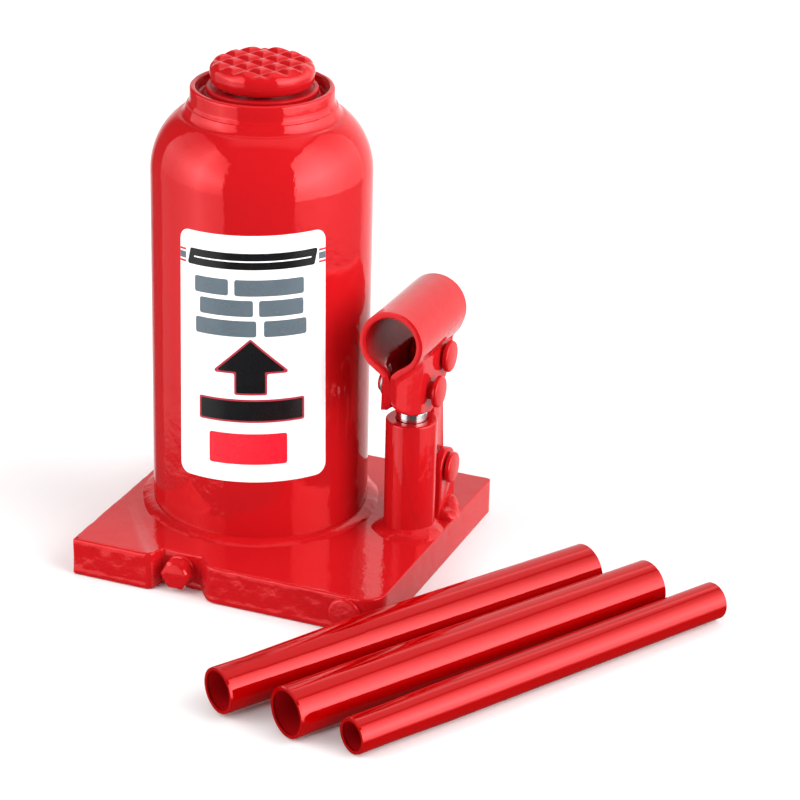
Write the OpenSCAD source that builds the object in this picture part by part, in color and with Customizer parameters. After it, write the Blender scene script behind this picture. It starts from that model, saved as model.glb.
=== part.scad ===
// Low-profile hydraulic bottle jack with its three-piece pump handle.
// Millimetres. The ram axis is the Z axis, the floor is Z = 0 and the user stands at -Y.

/* [Base] */
// Distance from the ram axis to the left side of the base
base_left = 48.2; // [45:0.1:55]
// Distance from the ram axis to the right side of the base
base_right = 76.1; // [75:0.1:85]
// Distance from the ram axis to the front face of the base
base_front = 64.6; // [63:0.1:70]
// Distance from the ram axis to the back face of the base
base_back = 51.8; // [46:0.1:60]
// Thickness of the base
base_t = 14.6; // [14.6:0.1:18]
// Depth of the notch that guards the release valve
notch_depth = 7; // [5:0.5:8]

/* [Reservoir tank] */
// Outside radius of the tank
tank_r = 41.2; // [40:0.1:44]
// Wall thickness of the tank
tank_wall = 2.5; // [1.5:0.1:3]
// Height at which the shoulder starts to curve in
shoulder_z = 148; // [140:1:150]
// Width of the weld bead round the foot of the tank
tank_weld_w = 6; // [3:0.5:7]

/* [Ram and cylinder] */
// Outside radius of the ram
ram_r = 20.6; // [18:0.1:20.8]
// Height of the ram's top edge when the jack is down
ram_top = 180.15; // [178:0.05:182]
// Radius of the bore of the pressure cylinder
cylinder_bore_r = 22.5; // [22:0.1:23]
// Outside radius of the pressure cylinder
cylinder_r = 26; // [25.5:0.1:26.3]
// Hydraulic lift of the ram
ram_stroke = 110; // [80:1:110]
// Outside radius of the rim of the top nut
rim_r = 26.6; // [26.4:0.1:28]
// Height of the rim's top edge
rim_top = 180.3; // [178:0.1:182]

/* [Extension screw and saddle] */
// Radius of the extension screw
screw_r = 13.4; // [11:0.1:14]
// Travel of the extension screw
screw_travel = 55; // [30:1:55]
// Radius of the saddle
saddle_r = 19.3; // [17:0.1:20]
// Height of the saddle's top, which is the closed height of the jack
closed_height = 190; // [188:0.5:194]
// Pitch of the pyramids on the saddle
saddle_pitch = 7.3; // [6:0.1:9]

/* [Pump] */
// Distance of the pump axis to the right of the ram axis
pump_x = 62.7; // [62:0.1:64]
// Distance of the pump axis behind the ram axis
pump_y = -2.2; // [-4:0.1:0]
// Outside radius of the pump cylinder
pump_r = 9.7; // [9:0.1:9.8]
// Height of the top of the pump cylinder
pump_top = 60; // [58:0.5:61]
// Radius of the plunger
plunger_r = 5.8; // [5:0.1:6]
// Radius of the linkage pins
pin_r = 3.5; // [3:0.1:3.6]

/* [Handle socket] */
// Outside radius of the socket tube
socket_r = 12.2; // [12:0.1:12.6]
// Radius of the socket bore
socket_bore_r = 10; // [9.95:0.05:10.2]
// Length of the socket tube
socket_l = 51; // [48:0.5:54]
// Angle by which the socket's front end tilts up at rest
socket_tilt = 3.7; // [3:0.1:6]
// Angle by which the socket tube is turned to the left of straight back
socket_yaw = 2.6; // [0:0.1:3]

/* [Handle tubes] */
// Body radius of the lower handle tube, which fits the socket
lower_r = 9.85; // [9.6:0.05:9.9]
// Body radius of the middle handle tube
middle_r = 9.6; // [9.5:0.05:9.7]
// Body radius of the upper handle tube
upper_r = 7; // [6.6:0.1:7.2]
// Wall thickness of the handle tubes
handle_wall = 1.05; // [0.9:0.05:1.1]

/* [Label] */
// Height of the label
label_h = 95.4; // [60:0.2:100]
// Angle that the label covers round the tank
label_angle = 81.6; // [50:0.2:90]

/* [Hidden] */
$fn = 96;

red = "firebrick";
steel = "silver";
rubber = "dimgray";

running = 0.06;            // radial clearance of a sliding fit
thread_gap = 0.05;         // radial clearance drawn at a threaded joint
eps = 0.02;                // clearance between pieces that only touch

// Ram, cylinder and top nut
well_z = base_t - 3;                        // floor of the recess under the pressure cylinder
gasket_t = 1;
cylinder_top = rim_top - 6.3;
neck_r = 27.3;                              // outside radius at the top of the tank's neck
nut_skirt_z = 32 + ram_stroke + 0.5;        // lower end of the top nut's threaded skirt
guide_top = 32;
thread_z = 133;                             // lower end of the thread inside the ram
screw_foot = thread_z - 5 - screw_travel;   // lower end of the extension screw

// Pump linkage, as [y, z] in the plane of the pump
front_pin_p = [pump_y, 72.6];
rear_pin_p = [11.5, 81.3];
base_pin_p = [15.8, 33.9];
slot_half = 5.1;                            // half the gap between the socket's two ears
ear_t = 2.3;
tongue_half = 4.7;                          // half the thickness of the link and plunger eye
eye_gap = 0.85;                             // play of the rear pin in the link's upper eye
socket_front_p = [-24.8, 98.2];             // centre of the socket's front rim
ear_front_r = 8.8;
ear_rear_r = 7.6;
socket_seat = 28.5;                         // depth at which the bore widens, clear of the link's eye

// Valves in the base
valve_x = -6.1;
valve_z = 7.3;
notch_floor_y = -base_front + notch_depth;
plug_x = 63.2;
plug_z = 7.5;
ball_r = 2.4;
seat_r = 1.6;
seat_drop = sqrt(pow(ball_r, 2) - pow(seat_r, 2)) + eps;  // ball centre above its seat
pump_floor_z = 9;
suction_seat_z = 5.2;
delivery_p = [12, -2];
delivery_seat_z = 5.5;
suction_p = [33, 9];
release_seat_y = -25.5;
relief_seat_y = -16;
relief_ball_r = 2;
relief_drop = sqrt(pow(relief_ball_r, 2) - 1.44) + eps;
delivery_ball_top = delivery_seat_z + seat_drop + ball_r;

// Handle tubes: front end [x, y], heading from +X, length
lower_place = [47.1, -138.2, 58.5, 164];
middle_place = [74.4, -142.1, 59.5, 164.5];
upper_place = [99, -142.9, 60.3, 168];

label_centre = -70.6;
label_foot = 40;
label_t = 0.15;
filler_z = 128;
filler_r = 4.1;

function arc(c, r, a0, a1, n) = [for (i = [0:n]) let (a = a0 + (a1 - a0) * i / n)
    [c[0] + r * cos(a), c[1] + r * sin(a)]];

module ring(r_out, r_in, z0, z1) {
    translate([0, 0, z0]) difference() {
        cylinder(h = z1 - z0, r = r_out);
        translate([0, 0, -1]) cylinder(h = z1 - z0 + 2, r = r_in);
    }
}

module z_rod(r, z0, z1) {
    translate([0, 0, z0]) cylinder(h = z1 - z0, r = r);
}

module x_rod(r, x0, x1, p) {
    translate([x0, p[0], p[1]]) rotate([0, 90, 0]) cylinder(h = x1 - x0, r = r);
}

module y_rod(r, y0, y1, x, z) {
    translate([x, y0, z]) rotate([-90, 0, 0]) cylinder(h = y1 - y0, r = r);
}

module y_ring(r_out, r_in, y0, y1, x, z) {
    difference() {
        y_rod(r_out, y0, y1, x, z);
        y_rod(r_in, y0 - 1, y1 + 1, x, z);
    }
}

module rod_between(p, q, r) {
    d = q - p;
    translate(p) rotate([0, acos(d[2] / norm(d)), atan2(d[1], d[0])]) cylinder(h = norm(d), r = r);
}

module ball(r, p) {
    translate(p) sphere(r = r);
}

// Round-wire helix with its ends on the planes 0 and h
module coil_spring(r, wire, h, turns) {
    steps = round(turns * 14);
    sides = 6;
    rise = (h - 2 * wire) / steps;
    points = [for (i = [0:steps], k = [0:sides - 1])
        let (a = i * 360 * turns / steps, b = k * 360 / sides, w = r - wire + wire * cos(b))
        [w * cos(a), w * sin(a), wire + i * rise + wire * sin(b)]];
    body = [for (i = [0:steps - 1], k = [0:sides - 1]) let (m = (k + 1) % sides)
        [i * sides + k, (i + 1) * sides + k, (i + 1) * sides + m, i * sides + m]];
    ends = [[for (k = [0:sides - 1]) k], [for (k = [sides - 1:-1:0]) steps * sides + k]];
    polyhedron(points = points, faces = concat(ends, body), convexity = 6);
}

// Plan of the base with its rounded corners
function base_plan() = concat(
    arc([-base_left + 1.2, -base_front + 1.2], 1.2, 180, 270, 4),
    arc([base_right - 8, -base_front + 8], 8, 270, 360, 8),
    arc([base_right - 2, base_back - 2], 2, 0, 90, 4),
    arc([-base_left + 5, base_back - 5], 5, 90, 180, 6));

module notch_plan() {
    polygon(concat([[valve_x - 9.7, -base_front - 1], [valve_x - 7.4, notch_floor_y],
        [valve_x + 8.1, notch_floor_y]],
        arc([valve_x + 17.5, -base_front + 5], 5, 203, 270, 6),
        [[valve_x + 17.5, -base_front - 1]]));
}

module pump_passages() {
    translate([pump_x, pump_y, 0]) {
        z_rod(pump_r + thread_gap, pump_floor_z, base_t + 1);
        z_rod(plunger_r, suction_seat_z, pump_floor_z + 1);
        z_rod(seat_r, 2.9, suction_seat_z + 1);
    }
    rod_between([pump_x, pump_y, 2.9], [suction_p[0], suction_p[1], 2.9], 1.4);
    translate([suction_p[0], suction_p[1], 0]) {
        z_rod(2.2, 2, base_t);
        z_rod(4.6, base_t - 1, base_t + 1);
    }
    rod_between([pump_x - 3, pump_y, 7.4], [delivery_p[0], delivery_p[1], 3.5], 1.4);
    translate([delivery_p[0], delivery_p[1], 0]) {
        z_rod(seat_r, 3, delivery_seat_z + 1);
        z_rod(3, delivery_seat_z, 10);
        z_rod(3.65, 9.6, base_t);
    }
}

module release_passages() {
    y_rod(5.55, notch_floor_y - 1, -50.4, valve_x, valve_z);
    y_rod(4.95, -51, -35.5, valve_x, valve_z);
    y_rod(3.2, -36, release_seat_y, valve_x, valve_z);
    y_rod(seat_r, release_seat_y - 1, -13, valve_x, valve_z);
    translate([valve_x, -14, valve_z]) cylinder(h = base_t, r = 1.8);
    translate([valve_x, -31, valve_z]) cylinder(h = base_t, r = 2);
}

module relief_passages() {
    y_rod(4.45, -base_front - 1, -46, plug_x, plug_z);
    y_rod(3, -47, relief_seat_y, plug_x, plug_z);
    y_rod(1.2, relief_seat_y - 1, pump_y, plug_x, plug_z);
    rod_between([plug_x - 1, -24, plug_z], [34, -9, base_t + 1], 1.2);
}

module base_plate() {
    color(red) difference() {
        linear_extrude(height = base_t) difference() {
            polygon(base_plan());
            notch_plan();
        }
        z_rod(cylinder_r + thread_gap, well_z, base_t + 1);
        pump_passages();
        release_passages();
        relief_passages();
    }
}

// Half-profile of the tank: straight wall, elliptical shoulder, concave run into the neck
function shell_profile() = concat(
    [[tank_r - tank_wall, base_t], [tank_r, base_t]],
    [for (a = [0:6:60]) [20 + (tank_r - 20) * cos(a), shoulder_z + 25 * sin(a)]],
    [[29, 171], [27.9, 172.3], [neck_r, cylinder_top]],
    [[cylinder_r + thread_gap, cylinder_top]],
    [for (a = [72:-6:0]) [20 + (tank_r - tank_wall - 20) * cos(a), shoulder_z + 22.5 * sin(a)]]);

module tank_shell() {
    color(red) difference() {
        rotate_extrude() polygon(shell_profile());
        z_rod(cylinder_r + thread_gap, shoulder_z, cylinder_top + 1);
        y_rod(filler_r + running, 20, tank_r + 5, 0, filler_z);
    }
}

// Concave fillet of weld metal in the corner between a round wall and a flat floor
module weld_ring(r, w, h) {
    rotate_extrude() polygon(concat([[r, 0], [r + w, 0]],
        [for (a = [0:15:90]) [r + w - w * 0.93 * sin(a), h - h * 0.9 * cos(a)]], [[r, h]]));
}

module tank_weld() {
    color(red) translate([0, 0, base_t]) difference() {
        weld_ring(tank_r, tank_weld_w, 3.4);
        translate([pump_x, pump_y, -1]) cylinder(h = 9, r = pump_r + 3.6);
    }
}

module pump_weld() {
    lug_front = base_pin_p[0] - 7.5 - eps;
    color(red) difference() {
        translate([pump_x, pump_y, base_t]) weld_ring(pump_r, 3.5, 3.5);
        for (x = [-8.3 - eps, 5.2 - eps])
            translate([pump_x + x, lug_front, base_t - 1]) cube([3.1 + 2 * eps, 10, 6]);
    }
}

module lug_weld() {
    color(red) for (side = [0, 1]) translate([pump_x, 0, base_t]) mirror([side, 0, 0])
        translate([8.3, base_pin_p[0] + 7.3, 0]) rotate([90, 0, 0])
        linear_extrude(height = 14.6) polygon([[0, 0], [4.2, 0], [1.6, 1.7], [0, 4.6]]);
}

module pressure_cylinder() {
    color(steel) ring(cylinder_r, cylinder_bore_r, well_z + gasket_t, cylinder_top);
}

module cylinder_gasket() {
    color(rubber) ring(cylinder_r, cylinder_bore_r, well_z, well_z + gasket_t);
}

// Ring with a raised rim on top and a threaded skirt inside the pressure cylinder
module top_nut() {
    color(red) difference() {
        union() {
            ring(rim_r, rim_r - 1.6, cylinder_top, rim_top);
            ring(neck_r, rim_r - 1.6, cylinder_top, cylinder_top + 0.6);
            ring(rim_r, ram_r + 1.9, cylinder_top, cylinder_top + 1.6);
            ring(cylinder_bore_r - eps, ram_r + running, nut_skirt_z, cylinder_top + 0.2);
        }
        ring(cylinder_bore_r + 1, cylinder_bore_r - 0.8, nut_skirt_z + 4, nut_skirt_z + 6);
    }
}

module top_nut_seal() {
    color(rubber) ring(cylinder_bore_r - eps, cylinder_bore_r - 0.78, nut_skirt_z + 4.1,
        nut_skirt_z + 5.9);
}

module ram_wiper() {
    color(rubber) rotate_extrude() polygon([[ram_r + running, cylinder_top + 0.2],
        [ram_r + 1.85, cylinder_top + 0.2], [ram_r + 1.85, cylinder_top + 2.4],
        [ram_r + 0.5, cylinder_top + 3.2], [ram_r + running, cylinder_top + 3]]);
}

module pump_cylinder() {
    color(red) translate([pump_x, pump_y, 0]) difference() {
        z_rod(pump_r, pump_floor_z, pump_top);
        z_rod(plunger_r + running, 0, pump_top + 1);
        z_rod(7.5, 49, pump_top + 1);
    }
}

module pump_packing() {
    color(rubber) translate([pump_x, pump_y, 0]) ring(7.5 - eps, plunger_r + running, 49, 55);
}

module pump_gland() {
    color(red) translate([pump_x, pump_y, 0]) ring(7.5 - eps, plunger_r + 0.5, 55, pump_top - 0.5);
}

// Upright plate beside the link, round at the top
module lug(side) {
    x0 = min(side * 5.2, side * 8.3);
    color(red) translate([pump_x, 0, 0]) difference() {
        union() {
            x_rod(7.5, x0, x0 + 3.1, base_pin_p);
            translate([x0, base_pin_p[0] - 7.5, base_t])
                cube([3.1, 15, base_pin_p[1] - base_t]);
        }
        x_rod(pin_r, x0 - 1, x0 + 5, base_pin_p);
    }
}

module lug_left() {
    lug(-1);
}

module lug_right() {
    lug(1);
}

// Headed pin with a groove for its clip; x values are measured from the pump axis
module headed_pin(p, head_x, tail_x) {
    color(red) translate([pump_x, 0, 0]) difference() {
        union() {
            x_rod(pin_r, tail_x, head_x, p);
            x_rod(6, head_x, head_x + 1.6, p);
            x_rod(5.4, head_x + 1.6, head_x + 2.2, p);
        }
        difference() {
            x_rod(pin_r + 1, tail_x + 1.6, tail_x + 2.6, p);
            x_rod(pin_r - 0.8, tail_x + 1, tail_x + 3, p);
        }
    }
}

module pin_clip(p, tail_x) {
    color(red) translate([pump_x, 0, 0]) difference() {
        x_rod(pin_r + 1.6, tail_x + 1.65, tail_x + 2.55, p);
        x_rod(pin_r - 0.78, tail_x + 1, tail_x + 3, p);
        translate([tail_x + 1, p[0] - 1.2, p[1] - 9]) cube([2, 2.4, 8]);
    }
}

module base_pin() {
    headed_pin(base_pin_p, 9, -12.4);
}

module base_pin_clip() {
    pin_clip(base_pin_p, -12.4);
}

module front_pin() {
    headed_pin(front_pin_p, 9.6, -12.8);
}

module front_pin_clip() {
    pin_clip(front_pin_p, -12.8);
}

module rear_pin() {
    headed_pin(rear_pin_p, 8.4, -12);
}

module rear_pin_clip() {
    pin_clip(rear_pin_p, -12);
}

module front_plug() {
    color(red) {
        y_rod(6.3, -base_front - 1.6, -base_front, plug_x, plug_z);
        y_rod(4.4, -base_front - 0.1, -56, plug_x, plug_z);
    }
}

module relief_screw() {
    color(steel) difference() {
        y_rod(2.95, -44, -36, plug_x, plug_z);
        translate([plug_x - 3, -44.5, plug_z - 0.5]) cube([6, 2, 1]);
    }
}

module relief_spring() {
    color(steel) translate([plug_x, -36 + eps, plug_z]) rotate([-90, 0, 0])
        coil_spring(2.5, 0.45, 36 + relief_seat_y - relief_drop - relief_ball_r - 2 * eps, 8);
}

module relief_ball() {
    color(steel) ball(relief_ball_r, [plug_x, relief_seat_y - relief_drop, plug_z]);
}

module suction_ball() {
    color(steel) ball(ball_r, [pump_x, pump_y, suction_seat_z + seat_drop]);
}

module suction_screen() {
    color(steel) translate([suction_p[0], suction_p[1], base_t - 1]) difference() {
        cylinder(h = 0.8, r = 4.55);
        for (i = [-2:2], j = [-2:2]) if (norm([i, j]) < 2.3)
            translate([i * 1.5, j * 1.5, -1]) cylinder(h = 3, r = 0.45, $fn = 16);
    }
}

module delivery_ball() {
    color(steel) ball(ball_r, [delivery_p[0], delivery_p[1], delivery_seat_z + seat_drop]);
}

module delivery_spring() {
    color(steel) translate([delivery_p[0], delivery_p[1], delivery_ball_top + eps])
        coil_spring(1.9, 0.25, 12 - delivery_ball_top - 2 * eps, 3);
}

module delivery_retainer() {
    color(steel) translate([delivery_p[0], delivery_p[1], 0]) difference() {
        z_rod(3.6, 9.65, 12.6);
        z_rod(2.6, 9, 12);
        z_rod(1, 11, 13);
    }
}

module valve_nut() {
    color(red) difference() {
        union() {
            y_rod(6, notch_floor_y - 1.1, notch_floor_y, valve_x, valve_z);
            y_rod(5.5, notch_floor_y - 0.1, -52, valve_x, valve_z);
        }
        y_rod(4 + running, notch_floor_y - 2, -51, valve_x, valve_z);
    }
}

module valve_o_ring() {
    color(rubber) y_ring(5.4, 4 + running, -51.9, -50.5, valve_x, valve_z);
}

module release_ball() {
    color(steel) ball(ball_r, [valve_x, release_seat_y - seat_drop, valve_z]);
}

// Spindle: hex head, plain shank, thread and a tip that holds the ball on its seat
module release_valve() {
    head_y = notch_floor_y - 1.3;
    tip_y = release_seat_y - seat_drop - ball_r - eps;
    color(red) {
        translate([valve_x, head_y - 4.8, valve_z]) rotate([-90, 0, 0]) cylinder(h = 4.8, r = 6, $fn = 6);
        y_rod(4, head_y - 0.1, -45.9, valve_x, valve_z);
        y_rod(4.9, -46, -37, valve_x, valve_z);
        y_rod(2.5, -37.1, tip_y, valve_x, valve_z);
    }
}

module label() {
    color("white") intersection() {
        ring(tank_r + label_t, tank_r, label_foot, label_foot + label_h);
        rotate([0, 0, label_centre]) translate([tank_r / 2, 0, label_foot + label_h / 2])
            rotate([90, 0, 90]) linear_extrude(height = tank_r) label_plan();
    }
}

module label_plan() {
    w = tank_r * sin(label_angle / 2);
    h = label_h / 2;
    c = 4.2;
    polygon(concat(arc([w - c, h - c], c, 0, 90, 6), arc([c - w, h - c], c, 90, 180, 6),
        arc([c - w, c - h], c, 180, 270, 6), arc([w - c, c - h], c, 270, 360, 6)));
}

module filler_plug() {
    color(rubber) {
        y_rod(filler_r, tank_r - 4.5, tank_r + 0.1, 0, filler_z);
        y_rod(7, tank_r + eps, tank_r + 2.4, 0, filler_z);
        y_rod(4.5, tank_r + 2.3, tank_r + 3.6, 0, filler_z);
    }
}

// Hollow ram: threaded mouth for the screw, wider bore below it and a stub for the piston
module ram() {
    color(steel) difference() {
        union() {
            z_rod(ram_r, guide_top, ram_top - 0.8);
            translate([0, 0, ram_top - 0.8]) cylinder(h = 0.8, r1 = ram_r, r2 = ram_r - 0.6);
            z_rod(8, 13, guide_top + 1);
        }
        z_rod(screw_r + thread_gap, thread_z - 1, ram_top + 1);
        z_rod(screw_r + 1.8, screw_foot - 2, thread_z);
    }
}

module guide_ring() {
    color("goldenrod") ring(cylinder_bore_r - running, 8 + eps, 26, guide_top - eps);
}

module piston_cup() {
    color(rubber) ring(cylinder_bore_r - running, 8 + eps, 20, 26 - eps);
}

module cup_washer() {
    color(steel) ring(cylinder_bore_r - 1.5, 8 + eps, 18.5, 20 - eps);
}

module piston_nut() {
    color(steel) difference() {
        translate([0, 0, 13.2]) cylinder(h = 5.3 - eps, r = 14, $fn = 6);
        z_rod(8 + eps, 12, 20);
    }
}

module screw_stop_ring() {
    color(steel) ring(screw_r + 1.6, screw_r - 1.4, screw_foot + 2, screw_foot + 4);
}

module extension_screw() {
    color(steel) difference() {
        z_rod(screw_r, screw_foot, ram_top + 4);
        ring(screw_r + 1, screw_r - 1.5, screw_foot + 1.95, screw_foot + 4.05);
    }
}

// Forged cap with square pyramids, rounded side and a socket for the end of the screw
module saddle() {
    foot = ram_top + 0.7;
    valley = closed_height - 1.45;
    color(red) {
        difference() {
            rotate_extrude() polygon(concat([[0, foot], [saddle_r - 1.6, foot]],
                arc([saddle_r - 3.4, valley - 3.6], 3.4, -20, 78, 10), [[0, valley]]));
            z_rod(screw_r + eps, foot - 1, ram_top + 4 + eps);
        }
        intersection() {
            translate([0, 0, valley - 0.5]) cylinder(h = 3, r1 = saddle_r - 1.4, r2 = saddle_r - 3);
            pyramid_field(valley);
        }
    }
}

module pyramid_field(valley) {
    half = saddle_pitch / 2;
    rotate([0, 0, -23.4]) for (i = [-2:2], j = [-2:2])
        translate([i * saddle_pitch, j * saddle_pitch, valley - 0.3]) rotate([0, 0, 45])
        cylinder(h = closed_height - valley + 0.3, r1 = half * 1.4, r2 = half * 0.42, $fn = 4);
}

// Plunger rod with a flat eye for the front pin and a stub for its cup seal
module plunger() {
    color(steel) translate([pump_x, pump_y, 0]) difference() {
        union() {
            z_rod(plunger_r, 18, 63.4);
            z_rod(2.4, 10.5, 18.1);
            intersection() {
                union() {
                    x_rod(6.3, -tongue_half, tongue_half, [0, front_pin_p[1]]);
                    translate([-tongue_half, -plunger_r, 63.3])
                        cube([2 * tongue_half, 2 * plunger_r, front_pin_p[1] - 63.3]);
                }
                translate([-tongue_half, -9, 60]) cube([2 * tongue_half, 18, 30]);
            }
        }
        x_rod(pin_r + running, -10, 10, [0, front_pin_p[1]]);
    }
}

module plunger_cup() {
    color(rubber) translate([pump_x, pump_y, 0]) ring(plunger_r + 0.03, 2.4 + eps, 13.1, 18 - eps);
}

module plunger_nut() {
    color(steel) translate([pump_x, pump_y, 0]) ring(4.4, 2.4 + eps, 10.6, 13.1 - eps);
}

module socket_rod(r, s0, s1) {
    translate([pump_x, socket_front_p[0], socket_front_p[1]])
        rotate([-90 - socket_tilt, 0, socket_yaw]) translate([0, 0, s0]) cylinder(h = s1 - s0, r = r);
}

// Side outline of an ear: round about both pins and open upwards into the tube
module ear_plan() {
    top = socket_front_p[1] - 6;
    lean = atan2(rear_pin_p[1] - front_pin_p[1], rear_pin_p[0] - front_pin_p[0]);
    drop = [sin(lean), -cos(lean)];
    translate(front_pin_p) circle(r = ear_front_r);
    translate(rear_pin_p) circle(r = ear_rear_r);
    translate([front_pin_p[0] - ear_front_r, front_pin_p[1] - 7.2]) square([ear_front_r, 12]);
    polygon([[front_pin_p[0] - ear_front_r, top], [front_pin_p[0] - ear_front_r, front_pin_p[1]],
        front_pin_p + drop * ear_front_r, rear_pin_p + drop * ear_rear_r,
        [rear_pin_p[0] + ear_rear_r, rear_pin_p[1]], [rear_pin_p[0] + ear_rear_r, top - 4]]);
}

module ear(side) {
    x0 = min(side * slot_half, side * (slot_half + ear_t));
    translate([x0, 0, 0]) rotate([90, 0, 90]) linear_extrude(height = ear_t) ear_plan();
}

// Flange that spreads from the closed seam at the front out to the ear
module flare(side) {
    front_y = front_pin_p[0] - ear_front_r;
    hull() {
        translate([side > 0 ? 0.4 : -0.4 - ear_t, socket_front_p[0] + 0.8, socket_front_p[1] - 25.4])
            cube([ear_t, 2, 15]);
        translate([min(side * slot_half, side * (slot_half + ear_t)), front_y - 0.4, 66.5])
            cube([ear_t, 1, 22]);
    }
}

// Rolled tube with a seam along its underside that opens into two ears
module handle_socket() {
    color(red) difference() {
        union() {
            socket_rod(socket_r, 0, socket_l);
            translate([pump_x, 0, 0]) for (side = [-1, 1]) {
                ear(side);
                flare(side);
            }
        }
        socket_rod(socket_bore_r, -1, socket_seat);
        socket_rod(socket_bore_r + 0.35, socket_seat - 0.01, socket_l + 1);
        translate([pump_x - 0.4, -40, 60]) cube([0.8, 80, 28]);
        translate([pump_x - slot_half, front_pin_p[0] - ear_front_r, 60])
            cube([2 * slot_half, rear_pin_p[0] + ear_rear_r + 11 + 1.4, 28]);
        translate([pump_x, 0, 0]) {
            x_rod(pin_r + running, -9, 9, front_pin_p);
            x_rod(pin_r + running, -9, 9, rear_pin_p);
            x_rod(6 + running, slot_half + ear_t + 0.9, 13, rear_pin_p);
        }
    }
}

// Side outline of the link: its upper eye is wide, to let the pin follow its arc
module link_plan() {
    span = rear_pin_p - base_pin_p;
    difference() {
        union() {
            translate(base_pin_p) circle(r = 6);
            translate(rear_pin_p) circle(r = 6.5);
            translate(base_pin_p) rotate(atan2(-span[0], span[1]))
                translate([-5.3, 0]) square([10.6, norm(span)]);
        }
        translate(base_pin_p) circle(r = pin_r + running);
        translate(rear_pin_p) circle(r = pin_r + eye_gap);
    }
}

// Flat bar with an eye at each end
module link_bar() {
    color(red) translate([pump_x - tongue_half, 0, 0]) rotate([90, 0, 90])
        linear_extrude(height = 2 * tongue_half) link_plan();
}

// Tube lying on the floor: a straight neck at its front end, a long taper, then the body
module handle_tube(place, r, end_r, end_l, taper_l) {
    l = place[3];
    outer = [[0, end_r - 0.4], [0.4, end_r], [end_l, end_r], [end_l + taper_l, r],
        [l - 0.4, r], [l, r - 0.4]];
    inner = [[l, r - handle_wall], [end_l + taper_l, r - handle_wall],
        [end_l, end_r - handle_wall], [0, end_r - handle_wall]];
    color(red) translate([place[0], place[1], r]) rotate([0, 90, place[2]])
        rotate_extrude() polygon([for (p = concat(outer, inner)) [p[1], p[0]]]);
}

module handle_lower() {
    handle_tube(lower_place, lower_r, middle_r - handle_wall - 0.05, 14, 44);
}

module handle_middle() {
    handle_tube(middle_place, middle_r, middle_r - 0.3, 14, 30);
}

module handle_upper() {
    handle_tube(upper_place, upper_r, upper_r - 0.4, 14, 24);
}

base_plate();
tank_shell();
tank_weld();
pump_weld();
lug_weld();
pressure_cylinder();
cylinder_gasket();
top_nut();
top_nut_seal();
ram_wiper();
pump_cylinder();
pump_packing();
pump_gland();
lug_left();
lug_right();
base_pin();
base_pin_clip();
front_plug();
relief_screw();
relief_spring();
relief_ball();
suction_ball();
suction_screen();
delivery_ball();
delivery_spring();
delivery_retainer();
valve_nut();
valve_o_ring();
release_ball();
release_valve();
label();
filler_plug();
ram();
guide_ring();
piston_cup();
cup_washer();
piston_nut();
screw_stop_ring();
extension_screw();
saddle();
plunger();
plunger_cup();
plunger_nut();
handle_socket();
front_pin();
front_pin_clip();
rear_pin();
rear_pin_clip();
link_bar();
handle_lower();
handle_middle();
handle_upper();
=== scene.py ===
import math

import bmesh
import bpy
import numpy as np
from mathutils import Matrix, Vector, noise


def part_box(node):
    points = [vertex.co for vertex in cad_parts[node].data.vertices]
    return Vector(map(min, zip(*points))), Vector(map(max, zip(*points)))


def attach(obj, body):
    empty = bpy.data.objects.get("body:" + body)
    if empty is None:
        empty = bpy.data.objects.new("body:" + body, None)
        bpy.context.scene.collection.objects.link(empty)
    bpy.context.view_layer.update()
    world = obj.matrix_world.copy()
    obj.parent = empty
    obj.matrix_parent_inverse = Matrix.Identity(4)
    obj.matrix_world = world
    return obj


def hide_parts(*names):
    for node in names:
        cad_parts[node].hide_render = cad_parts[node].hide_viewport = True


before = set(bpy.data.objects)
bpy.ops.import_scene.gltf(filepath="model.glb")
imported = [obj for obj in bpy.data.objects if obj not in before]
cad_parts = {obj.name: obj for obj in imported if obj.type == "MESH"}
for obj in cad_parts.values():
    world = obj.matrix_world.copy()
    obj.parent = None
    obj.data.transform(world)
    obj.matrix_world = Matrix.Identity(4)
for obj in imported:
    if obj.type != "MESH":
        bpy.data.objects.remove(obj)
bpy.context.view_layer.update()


scene = bpy.context.scene
MM = 0.001
# the photograph's viewing angle: round the object, up, and the lean of the picture
AZ = math.radians(21.576)
EL = math.radians(23.912)
ROLL = math.radians(1.431)
CAMERA_AT = (0.42795, -0.93812, 0.51251)
LENS = 132.85


def box(node):
    lo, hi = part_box(node)
    return [v / MM for v in lo], [v / MM for v in hi]


def middle(node, axis):
    lo, hi = box(node)
    return 0.5 * (lo[axis] + hi[axis])


# ---- sizes from the frame, in mm
base_lo, base_hi = box("base_plate")
TANK_R = box("tank_shell")[1][0]
BASE_T = box("tank_weld")[0][2]
NECK_Z = box("tank_shell")[1][2]
RIM_FLARE = 0.7    # the nut's foot spreads past its rim
RIM_R = box("top_nut")[1][0] - RIM_FLARE
RIM_TOP = box("top_nut")[1][2]
RAM_R = box("ram")[1][0]
RAM_TOP = box("ram")[1][2]
SADDLE_R = box("saddle")[1][0]
SADDLE_LO, SADDLE_HI = box("saddle")[0][2], box("saddle")[1][2]
PUMP_X, PUMP_Y = middle("plunger", 0), middle("pump_cylinder", 1)
PUMP_R = 0.5 * (box("pump_cylinder")[1][0] - box("pump_cylinder")[0][0])
PUMP_TOP = box("pump_cylinder")[1][2]
FRONT_PIN = (middle("front_pin", 1), middle("front_pin", 2))
REAR_PIN = (middle("rear_pin", 1), middle("rear_pin", 2))
BASE_PIN = (middle("base_pin", 1), middle("base_pin", 2))
VALVE_X, VALVE_Z = middle("valve_nut", 0), middle("valve_nut", 2)
NOTCH_Y = -57.6    # back wall of the notch in the base
PLUG_X, PLUG_Z = middle("front_plug", 0), middle("front_plug", 2)


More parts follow.
